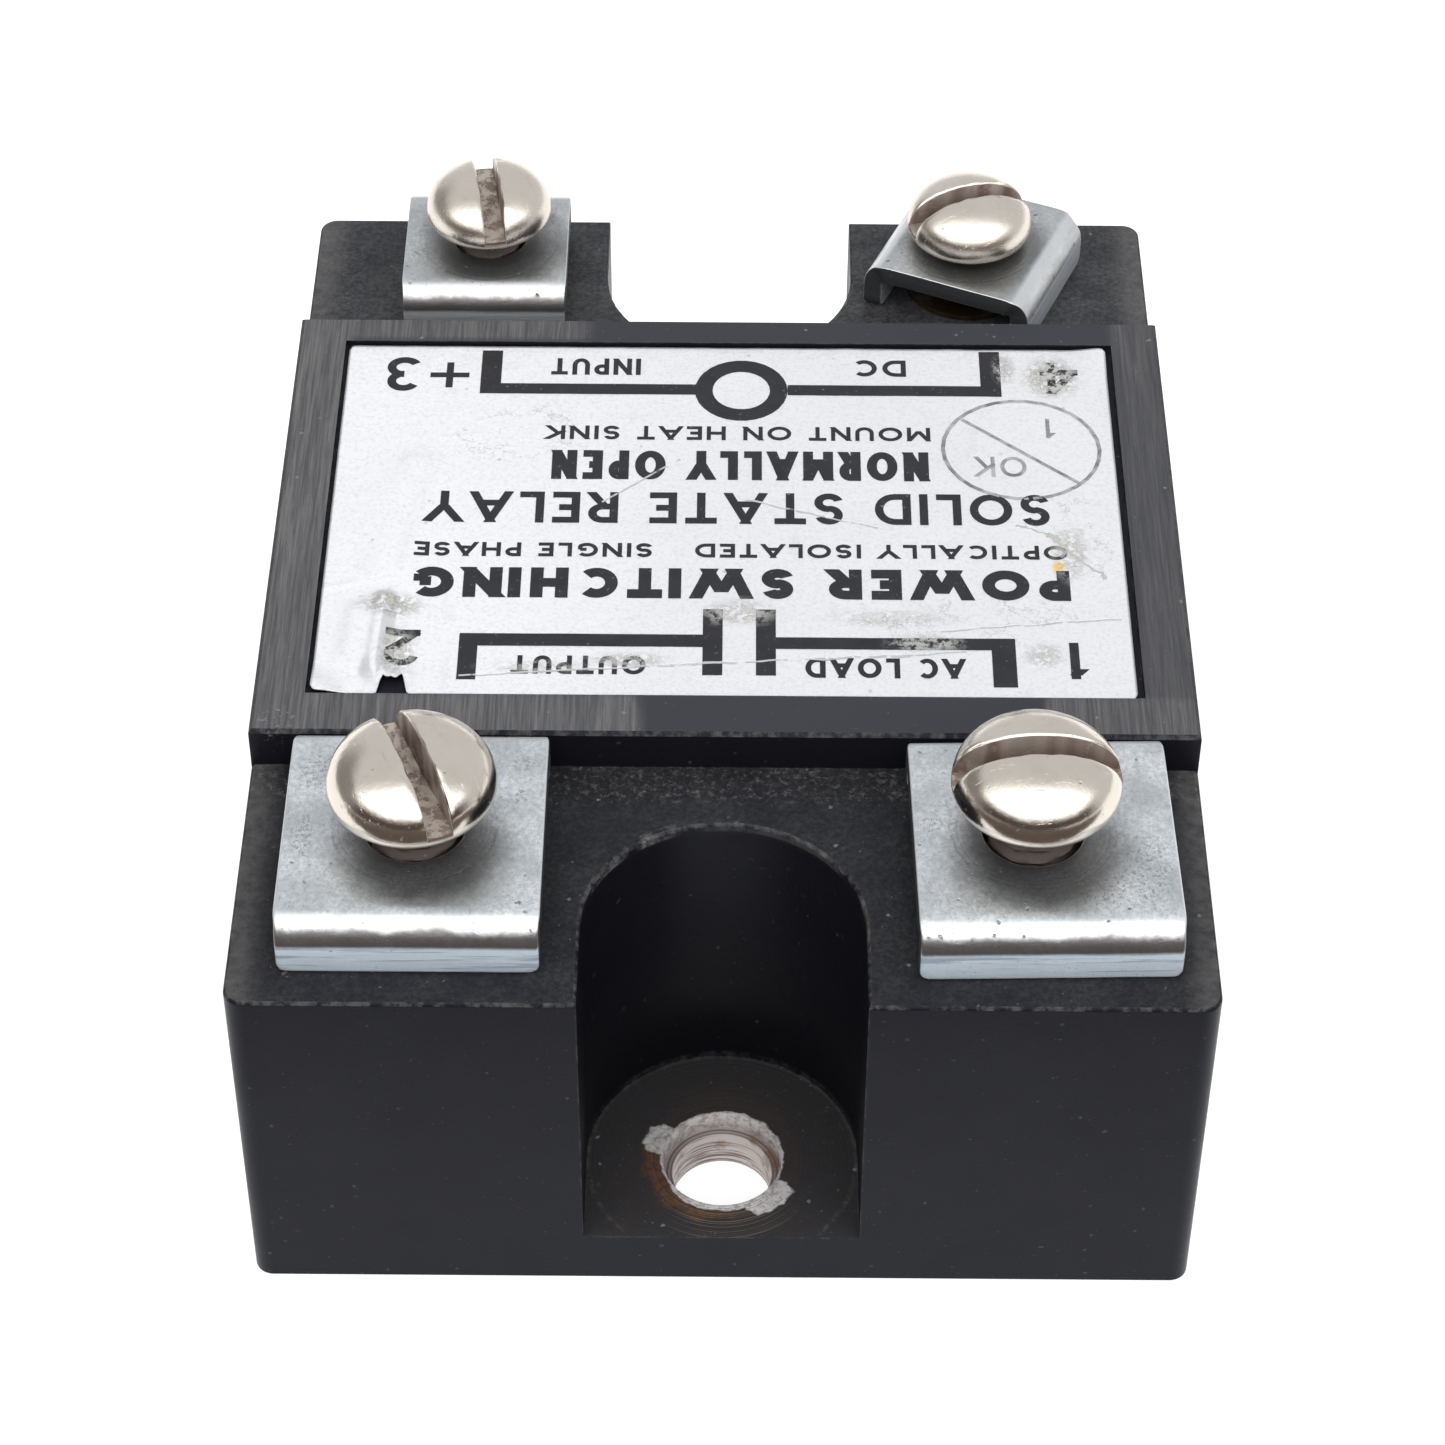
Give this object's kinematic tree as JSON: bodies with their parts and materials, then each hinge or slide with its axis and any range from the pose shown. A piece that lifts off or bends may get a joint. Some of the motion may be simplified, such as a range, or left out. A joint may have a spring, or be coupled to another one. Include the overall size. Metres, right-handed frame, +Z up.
{
  "type": "solid state relay",
  "caption": "Panel-mount solid state relay: black case with end mounting slots, metal base, foil label and screw clamp terminals.",
  "frame": {"origin": "centre of the base plate's underside", "axes": "+Z up out of the base, +Y along the length towards the control terminals 3 and 4, +X towards terminals 1 and 4"},
  "size_m": [0.0446, 0.0578, 0.0278],
  "materials": {
    "phenolic": "moulded black phenolic, satin gloss, worn along its edges",
    "aluminium": "milled, satin",
    "label_foil": "matte printed foil",
    "alumina": "white fired ceramic",
    "copper": "bare copper",
    "silicon": "polished dark grey",
    "tinned_wire": "tinned",
    "resin": "cured black resin",
    "board": "green glass-epoxy",
    "component_black": "moulded epoxy",
    "resistor_tan": "lacquered",
    "capacitor_yellow": "moulded box",
    "brass": "machined, dull",
    "zinc_plate": "zinc plated, satin, scuffed",
    "nickel_plate": "nickel plated, bright, slightly tarnished"
  },
  "bodies": {
    "case": {"housing": "phenolic", "base_plate": "aluminium", "rating_label": "label_foil", "terminal_insert_1": "brass", "terminal_insert_2": "brass", "terminal_insert_3": "brass", "terminal_insert_4": "brass", "ceramic_insulator": "alumina", "heat_spreader_1": "copper", "heat_spreader_2": "copper", "thyristor_chip_1": "silicon", "thyristor_chip_2": "silicon", "cathode_jumper_1": "copper", "cathode_jumper_2": "copper", "main_lead_1": "copper", "main_lead_2": "copper", "control_lead_3": "copper", "control_lead_4": "copper", "gate_leads": "tinned_wire", "output_pins": "tinned_wire", "potting_compound": "resin", "circuit_board": "board", "optocoupler": "component_black", "input_resistor": "resistor_tan", "input_diode": "component_black", "current_limit_transistor": "component_black", "trigger_thyristor": "component_black", "zero_cross_transistor": "component_black", "bridge_diodes": "component_black", "gate_resistors": "resistor_tan", "snubber_capacitor": "capacitor_yellow", "snubber_resistor": "resistor_tan"},
    "clamp_1": {"clamp_plate_1": "zinc_plate"},
    "screw_1": {"terminal_screw_1": "nickel_plate"},
    "clamp_2": {"clamp_plate_2": "zinc_plate"},
    "screw_2": {"terminal_screw_2": "nickel_plate"},
    "clamp_3": {"clamp_plate_3": "zinc_plate"},
    "screw_3": {"terminal_screw_3": "nickel_plate"},
    "clamp_4": {"clamp_plate_4": "zinc_plate"},
    "screw_4": {"terminal_screw_4": "nickel_plate"}
  },
  "joints": [
    {"name": "clamp_1_lift", "type": "slide", "parent": "case", "child": "clamp_1", "axis": [0, 0, 1], "range_m": [0, 0.003]},
    {"name": "screw_1_turn", "type": "hinge", "parent": "clamp_1", "child": "screw_1", "pos_m": [0.014, -0.0203, 0.0225], "axis": [0, 0, 1], "range_deg": [0, 1361.1]},
    {"name": "clamp_2_lift", "type": "slide", "parent": "case", "child": "clamp_2", "axis": [0, 0, 1], "range_m": [0, 0.003]},
    {"name": "screw_2_turn", "type": "hinge", "parent": "clamp_2", "child": "screw_2", "pos_m": [-0.014, -0.0203, 0.0225], "axis": [0, 0, 1], "range_deg": [0, 1361.1]},
    {"name": "clamp_3_lift", "type": "slide", "parent": "case", "child": "clamp_3", "axis": [0, 0, 1], "range_m": [0, 0.0025]},
    {"name": "screw_3_turn", "type": "hinge", "parent": "clamp_3", "child": "screw_3", "pos_m": [-0.0127, 0.0234, 0.0225], "axis": [0, 0, 1], "range_deg": [0, 1134.4]},
    {"name": "clamp_4_lift", "type": "slide", "parent": "case", "child": "clamp_4", "axis": [0, 0, 1], "range_m": [0, 0.0025]},
    {"name": "screw_4_turn", "type": "hinge", "parent": "clamp_4", "child": "screw_4", "pos_m": [0.0127, 0.0234, 0.0225], "axis": [0, 0, 1], "range_deg": [0, 1134.4]}
  ],
  "couplings": [
    {"joint": "screw_1_turn", "follows": "clamp_1_lift", "rad_per_m": 7915.8},
    {"joint": "screw_2_turn", "follows": "clamp_2_lift", "rad_per_m": 7915.8},
    {"joint": "screw_3_turn", "follows": "clamp_3_lift", "rad_per_m": 7915.8},
    {"joint": "screw_4_turn", "follows": "clamp_4_lift", "rad_per_m": 7915.8}
  ]
}
